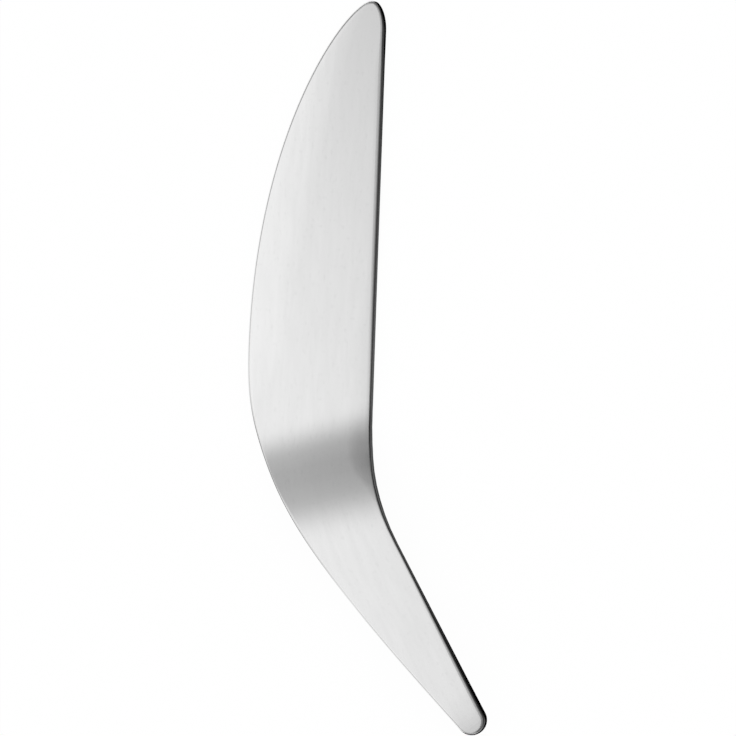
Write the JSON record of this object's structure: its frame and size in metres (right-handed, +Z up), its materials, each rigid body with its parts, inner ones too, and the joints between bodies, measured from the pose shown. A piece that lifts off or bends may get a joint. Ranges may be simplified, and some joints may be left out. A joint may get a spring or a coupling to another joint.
{
  "type": "cake server",
  "caption": "One-piece satin steel cake server: bowed flat blade with a straight spine, cranked neck and a raised, tapering handle swung to one side.",
  "frame": {"origin": "middle of the footprint, at the level of the blade's underside", "axes": "+Y towards the tip, along the blade's straight spine. +Z up, out of the serving face. +X to the side that the handle swings to."},
  "size_m": [0.0812, 0.228, 0.0125],
  "materials": {
    "steel": "satin, ground along its length, with smoother rounded edges"
  },
  "bodies": {
    "root": {"cake_server": "steel"}
  },
  "joints": []
}
